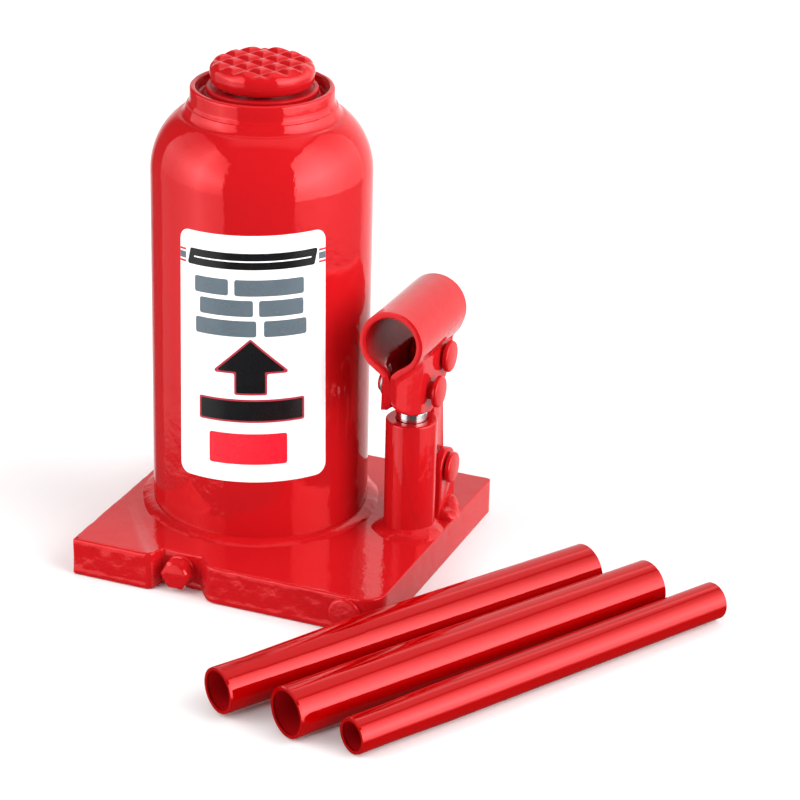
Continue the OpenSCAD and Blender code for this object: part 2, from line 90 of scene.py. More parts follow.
# ---- node helpers
class Nodes:
    def __init__(self, tree):
        self.tree = tree
        tree.nodes.clear()

    def add(self, kind, **settings):
        node = self.tree.nodes.new(kind)
        for key, value in settings.items():
            setattr(node, key, value)
        return node

    def link(self, a, b):
        self.tree.links.new(a, b)

    def put(self, socket, value):
        if hasattr(value, "is_output"):
            self.link(value, socket)
        else:
            socket.default_value = value

    def math(self, op, a, b, clamp=False):
        node = self.add("ShaderNodeMath", operation=op, use_clamp=clamp)
        self.put(node.inputs[0], a)
        self.put(node.inputs[1], b)
        return node.outputs[0]

    def dot(self, vector, constant):
        node = self.add("ShaderNodeVectorMath", operation="DOT_PRODUCT")
        self.link(vector, node.inputs[0])
        node.inputs[1].default_value = constant
        return node.outputs["Value"]

    def remap(self, value, lo, hi, a=0.0, b=1.0, smooth=False):
        shape = "SMOOTHSTEP" if smooth else "LINEAR"
        node = self.add("ShaderNodeMapRange", interpolation_type=shape)
        self.put(node.inputs["Value"], value)
        node.inputs["From Min"].default_value = lo
        node.inputs["From Max"].default_value = hi
        node.inputs["To Min"].default_value = a
        node.inputs["To Max"].default_value = b
        return node.outputs["Result"]

    def ramp(self, value, stops):
        """Grey ramp through (position, level) stops, levels 0 to 1."""
        lo, hi = stops[0][0], stops[-1][0]
        unit = self.remap(value, lo, hi)
        node = self.add("ShaderNodeValToRGB")
        elements = node.color_ramp.elements
        while len(elements) < len(stops):
            elements.new(0.5)
        for element, (pos, level) in zip(elements, stops):
            element.position = (pos - lo) / (hi - lo)
            element.color = (level, level, level, 1)
        self.link(unit, node.inputs["Fac"])
        return node.outputs["Color"]

    def noise(self, vector, scale, detail=2.0, roughness=0.5, stretch=None):
        if stretch:
            mapping = self.add("ShaderNodeMapping")
            self.link(vector, mapping.inputs["Vector"])
            mapping.inputs["Scale"].default_value = stretch
            vector = mapping.outputs["Vector"]
        node = self.add("ShaderNodeTexNoise")
        self.link(vector, node.inputs["Vector"])
        node.inputs["Scale"].default_value = scale
        node.inputs["Detail"].default_value = detail
        node.inputs["Roughness"].default_value = roughness
        return node.outputs["Fac"]

    def mix(self, factor, a, b):
        node = self.add("ShaderNodeMix", data_type="RGBA", blend_type="MIX")
        self.put(node.inputs[0], factor)
        self.put(node.inputs[6], a)
        self.put(node.inputs[7], b)
        return node.outputs[2]


def bump_chain(n, layers):
    """layers: (height socket, distance in metres), each added on the one before."""
    normal = None
    for height, distance in layers:
        node = n.add("ShaderNodeBump")
        node.inputs["Strength"].default_value = 1.0
        node.inputs["Distance"].default_value = distance
        n.link(height, node.inputs["Height"])
        if normal is not None:
            n.link(normal, node.inputs["Normal"])
        normal = node.outputs["Normal"]
    return normal


def material(name):
    mat = bpy.data.materials.new(name)
    mat.use_nodes = True
    n = Nodes(mat.node_tree)
    out = n.add("ShaderNodeOutputMaterial")
    bsdf = n.add("ShaderNodeBsdfPrincipled")
    n.link(bsdf.outputs[0], out.inputs["Surface"])
    coords = n.add("ShaderNodeTexCoord").outputs["Object"]
    return mat, n, bsdf, coords


# ---- materials
RED = (0.535, 0.0085, 0.0115, 1)
RED_DEEP = (0.45, 0.004, 0.007, 1)


def enamel(name, tint=(1.0, 0.2, 0.22, 1), spec=0.5, rough=0.05, coat=0.35, peel=1.0, lumps=0.0,
           grain=0.0, stretch=None, red=RED, deep=RED_DEEP, edge=0.45, sheen=0.08,
           metallic=0.15):
    """Thick gloss enamel: orange peel, slow waves, darker at random in slow patches and, as painted shade,
    in its creases and hollows; edge is the gloss kept at grazing, metallic the share of the gloss that the
    red pigment colours."""
    mat, n, bsdf, coords = material(name)
    slow = n.noise(coords, 26.0, 3.0, 0.55)
    # painted shade: concave creases and hollows, where pointiness is low, are mixed towards the deeper red
    crease_shade = n.add("ShaderNodeNewGeometry").outputs["Pointiness"]
    crease_shade = n.remap(crease_shade, 0.42, 0.5, 1.0, 0.0)
    shade = n.math("ADD", n.remap(slow, 0.3, 0.75, 0.0, 0.35), n.math("MULTIPLY", crease_shade, 0.5), clamp=True)
    n.link(n.mix(shade, red, deep), bsdf.inputs["Base Color"])
    speck = n.noise(coords, 1500.0, 2.0)
    n.link(n.math("ADD", n.remap(slow, 0.3, 0.7, rough * 0.8, rough * 1.3),
                  n.remap(speck, 0.55, 0.8, 0.0, 0.05)), bsdf.inputs["Roughness"])
    bsdf.inputs["Metallic"].default_value = metallic
    bsdf.inputs["IOR"].default_value = 1.5
    bsdf.inputs["Specular Tint"].default_value = tint
    bsdf.inputs["Coat Roughness"].default_value = 0.03
    bsdf.inputs["Sheen Weight"].default_value = sheen
    bsdf.inputs["Sheen Roughness"].default_value = 0.3
    bsdf.inputs["Sheen Tint"].default_value = (1.0, 0.25, 0.28, 1)
    facing = n.add("ShaderNodeLayerWeight").outputs["Facing"]
    keep = n.remap(facing, 0.3, 0.85, 1.0, edge, smooth=True)
    n.link(n.math("MULTIPLY", keep, spec), bsdf.inputs["Specular IOR Level"])
    n.link(n.math("MULTIPLY", keep, coat), bsdf.inputs["Coat Weight"])
    layers = [(n.noise(coords, 95.0, 2.0, 0.5), 0.00014 * peel),
              (n.noise(coords, 620.0, 1.5, 0.5), 0.00003 * peel)]
    if lumps:
        layers.insert(0, (n.noise(coords, 240.0, 4.0, 0.62), 0.00022 * lumps))
    if grain:
        layers.insert(0, (n.noise(coords, 1.0, 4.0, 0.6, stretch=stretch), 0.0002 * grain))
    normal = bump_chain(n, layers)
    n.link(normal, bsdf.inputs["Normal"])
    n.link(normal, bsdf.inputs["Coat Normal"])
    return mat


def metal(name, color, rough, streak, stretch):
    mat, n, bsdf, coords = material(name)
    lines = n.noise(coords, 1.0, 3.0, 0.6, stretch=stretch)
    cloud = n.noise(coords, 60.0, 3.0)
    dark = tuple(c * 0.72 for c in color[:3]) + (1,)
    n.link(n.mix(n.remap(cloud, 0.3, 0.75, 0.0, 0.6), color, dark), bsdf.inputs["Base Color"])
    n.link(n.remap(lines, 0.25, 0.8, rough * 0.7, rough * 1.5), bsdf.inputs["Roughness"])
    bsdf.inputs["Metallic"].default_value = 1.0
    n.link(bump_chain(n, [(lines, 0.00001 * streak)]), bsdf.inputs["Normal"])
    return mat


def rubber_material(name, color):
    mat, n, bsdf, coords = material(name)
    cloud = n.noise(coords, 180.0, 4.0, 0.6)
    pale = tuple(min(1.0, c * 1.8) for c in color[:3]) + (1,)
    n.link(n.mix(n.remap(cloud, 0.35, 0.8, 0.0, 0.6), color, pale), bsdf.inputs["Base Color"])
    n.link(n.remap(cloud, 0.3, 0.8, 0.45, 0.7), bsdf.inputs["Roughness"])
    n.link(bump_chain(n, [(n.noise(coords, 900.0, 3.0), 0.00003)]), bsdf.inputs["Normal"])
    return mat


def film(name, color, fade=0.04):
    """Printed plastic film: faint mottle in the ink and a light gloss."""
    rough = 0.22
    mat, n, bsdf, coords = material(name)
    cloud = n.noise(coords, 140.0, 3.0)
    dull = tuple(c * (1 - fade * 3) + 0.002 for c in color[:3]) + (1,)
    n.link(n.mix(n.remap(cloud, 0.35, 0.75), color, dull), bsdf.inputs["Base Color"])
    n.link(n.remap(cloud, 0.3, 0.7, rough, rough * 1.4), bsdf.inputs["Roughness"])
    bsdf.inputs["Specular IOR Level"].default_value = 0.35
    n.link(bump_chain(n, [(n.noise(coords, 260.0, 2.0), 0.00003)]), bsdf.inputs["Normal"])
    return mat


PAINT = enamel("red_enamel")
PAINT_BASE = enamel("red_enamel_on_plate", peel=1.3, lumps=0.35)
PAINT_WELD = enamel("red_enamel_on_weld", peel=1.2, lumps=1.0)
PAINT_SAWN = enamel("red_enamel_on_sawn_edge", rough=0.16, peel=0.8, lumps=0.25, grain=1.0,
                    stretch=(60.0, 60.0, 1500.0))
# Handle tubes: the same enamel, its red darker than the jack's as painted shade for the dimmer light on
# them, with a stronger, redder gloss.
PAINT_TUBE_DARKENED_AS_SHADE = enamel("red_enamel_on_tube_darkened_as_shade", tint=(1.0, 0.36, 0.38, 1), spec=1.0, coat=0.1, peel=0.4,
                    red=(0.44, 0.0005, 0.001, 1), deep=(0.36, 0.0004, 0.0008, 1), edge=0.1,
                    sheen=0.0, metallic=0.3)
# Rough overspray without clear coat, for the socket's bore, the tubes' insides, the ram's top ring and the
# ram's wiper; its red is darker than the outside paint as painted shade.
PAINT_DARKENED_AS_SHADE = enamel("red_enamel_darkened_as_shade", rough=0.3, coat=0.0, lumps=0.3, red=RED_DEEP,
                    deep=(0.2, 0.004, 0.006, 1), edge=0.1, sheen=0.0, metallic=0.0)
POLISHED = metal("polished_steel", (0.78, 0.78, 0.79, 1), 0.16, 0.6, (30.0, 30.0, 2600.0))
STEEL = metal("plain_steel", (0.50, 0.50, 0.51, 1), 0.36, 1.6, (400.0, 400.0, 900.0))
BRONZE = metal("bronze", (0.62, 0.42, 0.2, 1), 0.3, 1.0, (300.0, 300.0, 900.0))
RUBBER = rubber_material("rubber", (0.018, 0.018, 0.019, 1))
FILM = film("label_white", (0.93, 0.93, 0.93, 1), fade=0.01)
INK_BLACK = film("ink_black", (0.006, 0.006, 0.007, 1))
INK_GREY = film("ink_grey", (0.105, 0.14, 0.165, 1))
INK_RED = film("ink_red", (0.78, 0.012, 0.03, 1))
INK_EDGE = film("ink_dark_red", (0.42, 0.03, 0.05, 1))


# ---- mesh helpers, all in mm
MERGE = 0.001    # points closer than this are joined


def link_object(name, mesh):
    obj = bpy.data.objects.new(name, mesh)
    scene.collection.objects.link(obj)
    return obj


def new_mesh(name, verts, faces, mats):
    mesh = bpy.data.meshes.new(name)
    mesh.from_pydata([tuple(c * MM for c in v) for v in verts], [], faces)
    for mat in mats:
        mesh.materials.append(mat)
    return mesh


def fix_normals(mesh, merge=False):
    bm = bmesh.new()
    bm.from_mesh(mesh)
    if merge:
        bmesh.ops.remove_doubles(bm, verts=bm.verts, dist=MERGE * MM)
    bmesh.ops.recalc_face_normals(bm, faces=bm.faces)
    bm.to_mesh(mesh)
    bm.free()


def quads(rows, cols, row_loop=False, col_loop=True, flip=False):
    """Faces of a grid of points laid row by row; a looped direction joins its last line to its first."""
    faces = []
    for i in range(rows if row_loop else rows - 1):
        for j in range(cols if col_loop else cols - 1):
            here, there, m = i * cols, (i + 1) % rows * cols, (j + 1) % cols
            a, b, c, d = here + j, there + j, there + m, here + m
            faces.append((a, d, c, b) if flip else (a, b, c, d))
    return faces


def mesh_object(name, verts, faces, mats, body, replaces=(), smooth=35.0):
    mesh = new_mesh(name, verts, faces, mats)
    fix_normals(mesh, merge=True)
    obj = link_object(name, mesh)
    finish_mesh(obj, smooth)
    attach(obj, body)
    if replaces:
        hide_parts(*replaces)
    return obj


def finish_mesh(obj, smooth):
    mesh = obj.data
    mesh.polygons.foreach_set("use_smooth", [True] * len(mesh.polygons))
    mesh.set_sharp_from_angle(angle=math.radians(smooth))
    mesh.update()


def soften(obj, width, segments, angle):
    """Round the edges sharper than the angle."""
    soft = obj.modifiers.new("soft", "BEVEL")
    soft.width = width * MM
    soft.segments = segments
    soft.limit_method = "ANGLE"
    soft.angle_limit = math.radians(angle)


def apply_modifiers(obj):
    bpy.context.view_layer.update()
    graph = bpy.context.evaluated_depsgraph_get()
    mesh = bpy.data.meshes.new_from_object(obj.evaluated_get(graph))
    obj.modifiers.clear()
    obj.data = mesh


def rounded(points, step=14.0):
    """Closed outline through (x, y, corner radius) points, with the corners as arcs."""
    out = []
    count = len(points)
    for i, (x, y, r) in enumerate(points):
        p = Vector((x, y))
        if r <= 0:
            out.append((x, y))
            continue
        a = Vector(points[i - 1][:2]) - p
        b = Vector(points[(i + 1) % count][:2]) - p
        reach = 0.49 * min(a.length, b.length)
        a.normalize()
        b.normalize()
        angle = a.angle(b)
        if angle > math.pi - 0.02:
            out.append((x, y))
            continue
        t = min(r / math.tan(angle / 2), reach)
        r = t * math.tan(angle / 2)
        centre = p + (a + b).normalized() * (r / math.sin(angle / 2))
        v0, v1 = p + a * t - centre, p + b * t - centre
        a0 = math.atan2(v0.y, v0.x)
        turn = math.atan2(v0.x * v1.y - v0.y * v1.x, v0.dot(v1))
        steps = max(2, int(abs(turn) / math.radians(step)) + 1)
        for k in range(steps + 1):
            w = a0 + turn * k / steps
            out.append((centre.x + r * math.cos(w), centre.y + r * math.sin(w)))
    return out


def along(direction, origin):
    """Matrix that takes +Z to the direction, with its origin moved."""
    return Matrix.Translation(Vector(origin)) @ Vector((0, 0, 1)).rotation_difference(
        Vector(direction)).to_matrix().to_4x4()


def lathe(profile, matrix, seg, shape=None):
    """Closed (r, z) profile turned about Z; shape(angle, r, z) may move each point."""
    matrix = matrix or Matrix()
    verts = []
    for j in range(seg):
        a = 2 * math.pi * j / seg
        for r, z in profile:
            if shape:
                r, z = shape(a, r, z)
            verts.append(matrix @ Vector((r * math.cos(a), r * math.sin(a), z)))
    return verts, quads(seg, len(profile), row_loop=True)


def turned(name, profile, mat, body, replaces, matrix=None, seg=128, shape=None, smooth=35.0):
    verts, faces = lathe(profile, matrix, seg, shape)
    return mesh_object(name, verts, faces, [mat], body, replaces, smooth)


def wobble(x, y, z, size, seed):
    """Smooth repeatable noise, about -1 to 1, with features of the given size."""
    return noise.noise(Vector((x / size + seed, y / size + seed * 0.7, z / size - seed)))


def resample(points, step):
    """Closed outline with its points about a step apart."""
    out = []
    count = len(points)
    for i in range(count):
        a, b = Vector(points[i]), Vector(points[(i + 1) % count])
        parts = max(1, int(round((b - a).length / step)))
        out += [tuple(a.lerp(b, k / parts)) for k in range(parts)]
    return out


# ---- base plate
def make_base():
    """Plate with a soft top edge, a sawn right end, and a burr at the notch's left corner."""
    outline = rounded([
        (base_lo[0], base_lo[1], 1.2), (VALVE_X - 9.4, base_lo[1], 3.0), (VALVE_X - 7.4, NOTCH_Y, 1.1),
        (VALVE_X + 8.1, NOTCH_Y, 2.0), (VALVE_X + 13.9, base_lo[1], 6.0), (base_hi[0], base_lo[1], 8),
        (base_hi[0], base_hi[1], 2), (base_lo[0], base_hi[1], 5)])
    outline = resample(outline, 1.1)
    count = len(outline)
    low = 0.8
    burr_x, burr_y, burr_h = VALVE_X - 9.0, -63.0, 0.35
    normals = []
    for i in range(count):
        d = Vector(outline[(i + 1) % count]) - Vector(outline[i - 1])
        normals.append(Vector((d.y, -d.x)).normalized())
    levels = [("low", k) for k in range(4)] + [("wall", k) for k in range(9)] + \
             [("top", k) for k in range(7)] + [("in", 0)]
    verts = []
    for kind, k in levels:
        for (x, y), nrm in zip(outline, normals):
            sawn = nrm.x > 0.9
            soft = 0.35 if sawn else 1.0 + 0.3 * wobble(x, y, 0, 7.0, 3.1)
            if kind == "low":
                a = math.radians(30 * k)
                inset, z = low * (1 - math.sin(a)), low * (1 - math.cos(a))
            elif kind == "wall":
                inset, z = 0.0, low + (BASE_T - soft - low) * (k + 1) / 10
            elif kind == "top":
                a = math.radians(15 * k)
                inset, z = soft * (1 - math.cos(a)), BASE_T - soft * (1 - math.sin(a))
            else:
                inset, z = soft + 0.8, BASE_T
            rough = 0.05 if sawn else 0.16
            push = 0.0 if kind == "low" else rough * wobble(x, y, z, 5.0, 9.0) - rough
            if sawn and kind == "wall":
                push += 0.05 * wobble(x, y * 0.05, z, 1.1, 4.0)
            if kind == "top":
                z += 0.1 * wobble(x, y, 0, 2.6, 5.5) * (k / 6.0) * (1 - k / 6.0) * 4
            if kind == "top" and k != 0:
                z += burr_h * math.exp(-((x - burr_x) ** 2 + (y - burr_y) ** 2) / 9.0)
            verts.append((x - nrm.x * (inset - push), y - nrm.y * (inset - push), z))
    faces = quads(len(levels), count, flip=True)
    faces.append(tuple(reversed(range(count))))
    faces.append(tuple(range((len(levels) - 1) * count, len(levels) * count)))
    obj = mesh_object("base_body", verts, faces, [PAINT_BASE, PAINT_SAWN], "jack_frame",
                      ["base_plate"], smooth=40)
    for poly in obj.data.polygons:
        if poly.normal.x > 0.8:
            poly.material_index = 1


# ---- weld beads
def bead(name, path, closed, width, height, replaces, bulge, rag, seed, taper=0.0, scale=0.0, lump=0.1):
    """Fillet bead on a path of (x, y, z, outward x, outward y) corner points. rag varies its width,
    scale is the depth of its ripples, lump that of its bumps, and taper the length of its ends."""
    steps, pitch = 9, 2.4
    lengths = [0.0]
    for a, b in zip(path, path[1:]):
        lengths.append(lengths[-1] + math.dist(a[:3], b[:3]))
    total = lengths[-1]
    verts = []
    for (x, y, z, ox, oy), s in zip(path, lengths):
        w = width * (1 + rag * wobble(x, y, z, 9.0, seed) + 0.4 * rag * wobble(x, y, z, 3.0, seed + 2))
        h = height * (1 + rag * wobble(x, y, z, 8.0, seed + 5))
        if taper:
            end = min(1.0, min(s, total - s) / taper)
            end = math.sqrt(max(0.02, end * (2 - end)))
            w, h = w * end, h * end
        for k in range(steps + 1):
            a = 0.5 * math.pi * k / steps
            line_o, line_z = w * (1 - k / steps), h * k / steps
            o = line_o + bulge * (w * math.cos(a) - line_o)
            up = line_z + bulge * (h * math.sin(a) - line_z)
            ripple = scale * math.sin(2 * math.pi * (s / pitch + 0.55 * math.sin(a))) * math.sin(a * 2)
            grow = ripple + lump * wobble(x + o * ox, y + o * oy, z + up, 2.6, seed + 1) * math.sin(a * 2)
            o, up = o + grow * math.cos(a), up + grow * math.sin(a)
            verts.append((x + ox * o, y + oy * o, z + up))
        verts.append((x - ox * 0.4, y - oy * 0.4, z + h * 0.9))
        verts.append((x - ox * 0.4, y - oy * 0.4, z - 0.3))
        verts.append((x + ox * w * 0.9, y + oy * w * 0.9, z - 0.3))
    ring = steps + 4
    count = len(path)
    faces = quads(count, ring, row_loop=closed)
    if not closed:
        faces.append(tuple(range(ring)))
        faces.append(tuple(reversed(range((count - 1) * ring, count * ring))))
    mesh_object(name, verts, faces, [PAINT_WELD], "jack_frame", replaces, smooth=50)


def circle_path(cx, cy, r, steps):
    out = []
    for k in range(steps):
        a = 2 * math.pi * k / steps
        out.append((cx + r * math.cos(a), cy + r * math.sin(a), BASE_T, math.cos(a), math.sin(a)))
    return out


def make_welds():
    bead("tank_foot_bead", circle_path(0, 0, TANK_R - 0.1, 420), True, 4.6, 1.9,
         ["tank_weld"], bulge=0.42, rag=0.15, seed=1.3, scale=0.015, lump=0.06)
    bead("pump_foot_bead", circle_path(PUMP_X, PUMP_Y, PUMP_R - 0.1, 160), True, 4.0, 2.9,
         ["pump_weld"], bulge=0.25, rag=0.3, seed=4.7, lump=0.12)
    y0, y1 = BASE_PIN[0] - 7.6, BASE_PIN[0] + 7.6
    lug_side, steps = 8.25, 40
    ys = [y0 + (y1 - y0) * k / steps for k in range(steps + 1)]
    right = [(PUMP_X + lug_side, y, BASE_T, 1, 0) for y in ys]
    left = [(PUMP_X - lug_side, y, BASE_T, -1, 0) for y in ys]
    bead("lug_bead_right", right, False, 4.6, 5.4, ["lug_weld"], bulge=0.85, rag=0.6,
         seed=7.9, taper=3.5, scale=0.06, lump=0.25)
    bead("lug_bead_left", left, False, 3.6, 4.2, (), bulge=0.8, rag=0.4, seed=11.2, taper=3.5)


# ---- tank and its top
def make_tank():
    outer = [(TANK_R, BASE_T), (TANK_R, 60), (TANK_R, 104), (TANK_R, 140)]
    for a in np.arange(0, 60.1, 2.5):
        a = math.radians(float(a))
        outer.append((20 + (TANK_R - 20) * math.cos(a), 148 + 25 * math.sin(a)))
    neck = [(30.2, 169.75), (29.6, 170.05), (29.0, 170.7), (28.5, 171.6), (28.1, 172.6), (27.8, 173.3),
            (27.3, 173.5), (27.0, NECK_Z)]
    inner = [(26.1, NECK_Z), (26.1, 168.0), (34.0, 159.0), (38.0, 150.0), (38.7, 140.0), (38.7, BASE_T)]
    turned("tank_body", outer + neck + inner, PAINT, "jack_frame", ["tank_shell"], seg=256,
           shape=lambda a, r, z: (r + 0.05 * wobble(math.cos(a) * 41, math.sin(a) * 41, z, 24.0, 2.0), z),
           smooth=30)


def make_top():
    """Top nut's rim, hammered a little uneven, with the ram inside it."""
    z = NECK_Z
    rim = rounded([
        (RIM_R + 0.4, z - 0.9, 0), (RIM_R + 0.9, z - 0.5, 0.3), (RIM_R + 0.1, z + 0.7, 1.5),
        (RIM_R, z + 2.0, 0.5), (RIM_R, RIM_TOP, 1.15), (RIM_R - 2.1, RIM_TOP, 0.8),
        (RIM_R - 2.6, z + 1.9, 1.0), (RAM_R + 1.0, z + 1.5, 0.5), (RAM_R + 0.15, z + 1.0, 0.2),
        (RAM_R + 0.15, z - 2.0, 0), (RIM_R - 2.0, z - 2.0, 0)])

    def dented(a, r, zz):
        x, y = math.cos(a) * 26, math.sin(a) * 26
        drawn = 0.12 * wobble(x, y, 0, 3.0, 8.0) * math.exp(-((zz - z) / 1.0) ** 2)
        return r + 0.06 * wobble(x, y, zz, 5.0, 6.0) + drawn, zz + 0.06 * wobble(x, y, 0, 4.0, 8.0)

    turned("top_nut_rim", rim, PAINT, "jack_frame", ["top_nut"], seg=200, shape=dented)
    ram_lo = box("ram")[0][2]
    bore = box("extension_screw")[1][0] + 0.25
    skin = RAM_R + 0.05
    cap = rounded([(RAM_R - 0.3, RAM_TOP - 2.2, 0), (skin, RAM_TOP - 1.8, 0.1), (skin, RAM_TOP, 0.7),
                   (RAM_R - 1.5, RAM_TOP, 0.3), (RAM_R - 2.0, RAM_TOP - 0.35, 0.3),
                   (bore, RAM_TOP - 0.3, 0.3), (bore, RAM_TOP - 0.9, 0), (RAM_R - 1.0, RAM_TOP - 1.0, 0)])
    # the top ring takes the darkened paint: painted shade and a painted reflection of the saddle's dark
    # side
    turned("ram_painted_lip", cap, PAINT_DARKENED_AS_SHADE, "ram", (), seg=160)
    ram = rounded([(RAM_R, 32, 0.5), (RAM_R, RAM_TOP - 0.8, 0.7), (bore, RAM_TOP - 0.8, 0.3), (bore, 40, 0),
                   (0.0, 40, 0), (0.0, ram_lo, 0), (8.0, ram_lo, 0.4), (8.0, 32, 0)])
    turned("ram_body", ram, POLISHED, "ram", ["ram"], seg=160)


def make_screw():
    """Extension screw with a real helical thread, 4 mm pitch."""
    lo, hi = box("extension_screw")
    r1, pitch, depth = hi[0], 4.0, 1.3
    z0, z1 = lo[2], hi[2]
    seg = 72
    count = int((z1 - z0) / 0.5)
    verts = []
    for i in range(count + 1):
        z = z0 + (z1 - z0) * i / count
        for j in range(seg):
            a = 2 * math.pi * j / seg
            phase = ((z - z0) / pitch - j / seg) % 1.0
            cut = min(1.0, max(0.0, (abs(phase - 0.5) - 0.12) / 0.2))
            edge = min(1.0, max(0.0, min(z - z0 - 5.5, z1 - 5.0 - z) / 1.5))
            r = r1 - depth * (1.0 - cut) * edge
            verts.append((r * math.cos(a), r * math.sin(a), z))
    faces = quads(count + 1, seg, flip=True)
    faces.append(tuple(reversed(range(seg))))
    faces.append(tuple(range(count * seg, (count + 1) * seg)))
    mesh_object("extension_screw_threaded", verts, faces, [STEEL], "screw",
                ["extension_screw"], smooth=45)


def make_saddle():
    """Forged cap: rounded side, square pyramids worn soft, on a polar grid."""
    pitch, turn, height = 7.3, math.radians(-23.4), 1.4
    valley = SADDLE_HI - height
    seg, rings = 216, 64
    flat_r = SADDLE_R - 2.2

    def top(x, y, r):
        u = (x * math.cos(turn) + y * math.sin(turn)) / pitch
        v = (-x * math.sin(turn) + y * math.cos(turn)) / pitch
        du, dv = abs(u - round(u)), abs(v - round(v))
        slope = (0.5 - max(du, dv)) * pitch
        h = height * min(1.0, math.tanh((max(0.0, slope - 0.12) / 1.9) ** 1.25) * 1.08)
        h *= 1.0 if r < flat_r - 1.2 else max(0.0, 1 - (r - flat_r + 1.2) / 3.4)
        return valley + min(h, height) - 0.12 * (r / SADDLE_R) ** 4

    verts = []
    for i in range(rings + 1):
        r = flat_r * i / rings
        for j in range(seg):
            a = 2 * math.pi * j / seg
            x, y = r * math.cos(a), r * math.sin(a)
            verts.append((x, y, top(x, y, r)))
    # the side as (radius, height, share of the top's relief)
    side = []
    for k in range(1, 11):
        b = math.radians(9.0 * k)
        side.append((flat_r + 2.2 * math.sin(b), valley - 0.1 - 2.4 * (1 - math.cos(b)), 1 - k / 10))
    side += [(SADDLE_R, valley - 4.2, 0), (SADDLE_R - 0.2, valley - 5.4, 0),
             (SADDLE_R - 0.7, SADDLE_LO + 0.9, 0), (SADDLE_R - 1.2, SADDLE_LO + 0.3, 0),
             (SADDLE_R - 1.9, SADDLE_LO, 0), (13.6, SADDLE_LO, 0)]
    for r, z, blend in side:
        for j in range(seg):
            a = 2 * math.pi * j / seg
            x, y = r * math.cos(a), r * math.sin(a)
            lift = (top(x, y, flat_r) - valley + 0.1) * blend ** 1.5
            ripple = 0.12 * wobble(x, y, z, 4.0, 12.0) * (1 if r > 14 else 0)
            verts.append((x + ripple * math.cos(a), y + ripple * math.sin(a), z + lift))
    rows = rings + 1 + len(side)
    faces = quads(rows, seg)
    faces.append(tuple(range((rows - 1) * seg, rows * seg)))
    mesh_object("saddle_cap", verts, faces, [PAINT], "screw", ["saddle"], smooth=60)


# ---- pump
PUMP_AT = Matrix.Translation(Vector((PUMP_X, PUMP_Y, 0)))


def make_pump():
    opening, foot = 5.95, BASE_T - 2
    body = rounded([(PUMP_R, foot, 0), (PUMP_R, PUMP_TOP, 0.7), (opening + 0.3, PUMP_TOP, 0.2),
                    (opening, PUMP_TOP - 0.4, 0), (opening, PUMP_TOP - 6, 0),
                    (PUMP_R - 3, PUMP_TOP - 6.2, 0), (PUMP_R - 3, foot, 0)])
    turned("pump_body", body, PAINT, "jack_frame", ["pump_cylinder", "pump_gland"], PUMP_AT,
           shape=lambda a, r, z: (r + 0.04 * wobble(r * math.cos(a), r * math.sin(a), z, 9.0, 3.0), z))


def make_plunger():
    """Ground rod with a thin tail for the cup, and a flat red eye for the front pin."""
    lo, hi = box("plunger")
    r, top, foot, half = 5.8, 63.5, 63.3, 6.1
    rod = rounded([(2.4, 18, 0), (r, 18, 0.4), (r, top, 0.35), (0, top, 0), (0, lo[2], 0),
                   (2.4, lo[2], 0.3)])
    turned("plunger_rod", rod, POLISHED, "pump_plunger", (), PUMP_AT, 96)
    outline = rounded([(PUMP_Y - 5.6, foot, 0), (PUMP_Y + 5.6, foot, 0), (PUMP_Y + half, FRONT_PIN[1], 0),
                       (PUMP_Y + half, hi[2], 6.0), (PUMP_Y - half, hi[2], 6.0),
                       (PUMP_Y - half, FRONT_PIN[1], 0)])
    plate("plunger_eye", outline, [(FRONT_PIN, 3.6)], PUMP_X - 4.6, PUMP_X + 4.6, "pump_plunger", 0.6,
          ["plunger"])


# ---- plates and pins
def prism(name, points, x0, x1, mats):
    count = len(points)
    verts = [(x, y, z) for x in (x0, x1) for y, z in points]
    faces = [tuple(reversed(range(count))), tuple(range(count, 2 * count))] + quads(2, count, flip=True)
    mesh = new_mesh(name, verts, faces, mats)
    fix_normals(mesh)
    return link_object(name, mesh)


def plate(name, outline, holes, x0, x1, body, bevel, replaces):
    """Plate across X from a (y, z) outline, drilled, with softened edges."""
    obj = prism(name, outline, x0, x1, [PAINT])
    tools = []
    for k, ((y, z), r) in enumerate(holes):
        ring = []
        for i in range(48):
            a = 2 * math.pi * i / 48
            ring.append((y + r * math.cos(a), z + r * math.sin(a)))
        tool = prism(name + "_tool" + str(k), ring, x0 - 3, x1 + 3, [])
        tools.append(tool)
        cut = obj.modifiers.new("cut" + str(k), "BOOLEAN")
        cut.operation = "DIFFERENCE"
        cut.solver = "EXACT"
        cut.object = tool
    soften(obj, bevel, 4, 50)
    apply_modifiers(obj)
    for tool in tools:
        bpy.data.objects.remove(tool)
    finish_mesh(obj, 40)
    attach(obj, body)
    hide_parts(*replaces)


